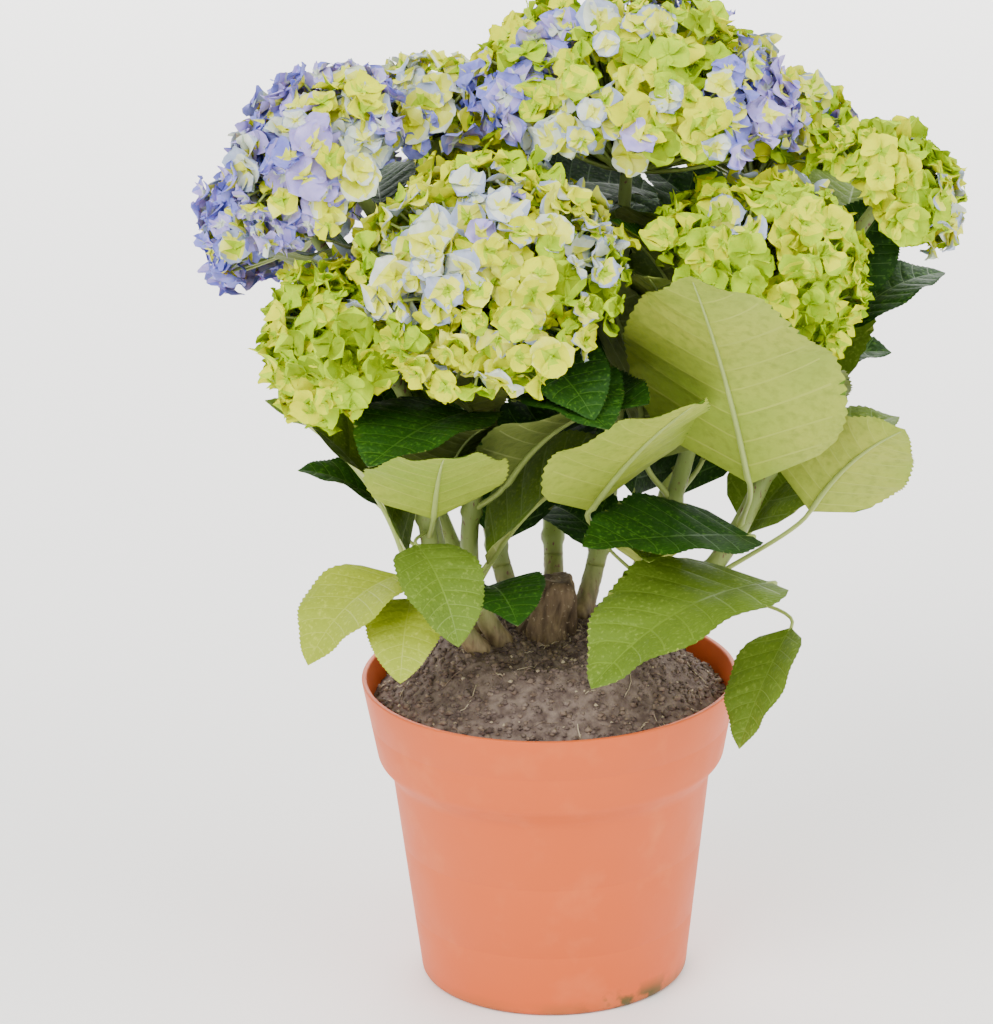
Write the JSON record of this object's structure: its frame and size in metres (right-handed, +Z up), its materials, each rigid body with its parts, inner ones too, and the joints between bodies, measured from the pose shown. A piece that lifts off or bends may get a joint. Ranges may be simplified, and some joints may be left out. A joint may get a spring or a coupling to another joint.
{
  "type": "potted hydrangea shrub",
  "caption": "Mophead hydrangea in bloom with domed flower heads on leafy green stems, standing in a round nursery pot with a flared collar.",
  "frame": {"origin": "centre of the pot's flat underside", "axes": "+Z up along the pot's axis, -Y towards the plant's front, +X to the right as seen from the front"},
  "size_m": [0.2763, 0.2402, 0.3689],
  "materials": {
    "pot_plastic": "smooth moulded terracotta-coloured plastic with a low sheen, slightly soiled at the foot",
    "peat": "moist dark peat compost with fibres and pale grains",
    "old_wood": "old grey-brown bark, cut back",
    "stem": "green stem turning brown and corky at its foot",
    "blossom": "thin matte sepals, lime and cream turning blue and violet",
    "leaf": "quilted serrated leaves, dark and glossy above, pale and matte below"
  },
  "bodies": {
    "root": {"pot": "pot_plastic", "soil": "peat", "woody_base": "old_wood", "stem_middle": "stem", "stem_front": "stem", "stem_front_right": "stem", "stem_right": "stem", "stem_left": "stem", "stem_left_back": "stem", "stem_low_left": "stem", "stem_back_right": "stem", "stem_back": "stem", "stem_back_left": "stem", "bloom_middle": "blossom", "bloom_front": "blossom", "bloom_front_right": "blossom", "bloom_right": "blossom", "bloom_left": "blossom", "bloom_left_back": "blossom", "bloom_low_left": "blossom", "bloom_back_right": "blossom", "bloom_back": "blossom", "bloom_back_left": "blossom", "leaves_middle": "leaf", "leaves_front": "leaf", "leaves_front_right": "leaf", "leaves_right": "leaf", "leaves_left": "leaf", "leaves_left_back": "leaf", "leaves_low_left": "leaf", "leaves_back_right": "leaf", "leaves_back": "leaf", "leaves_back_left": "leaf"}
  },
  "joints": []
}
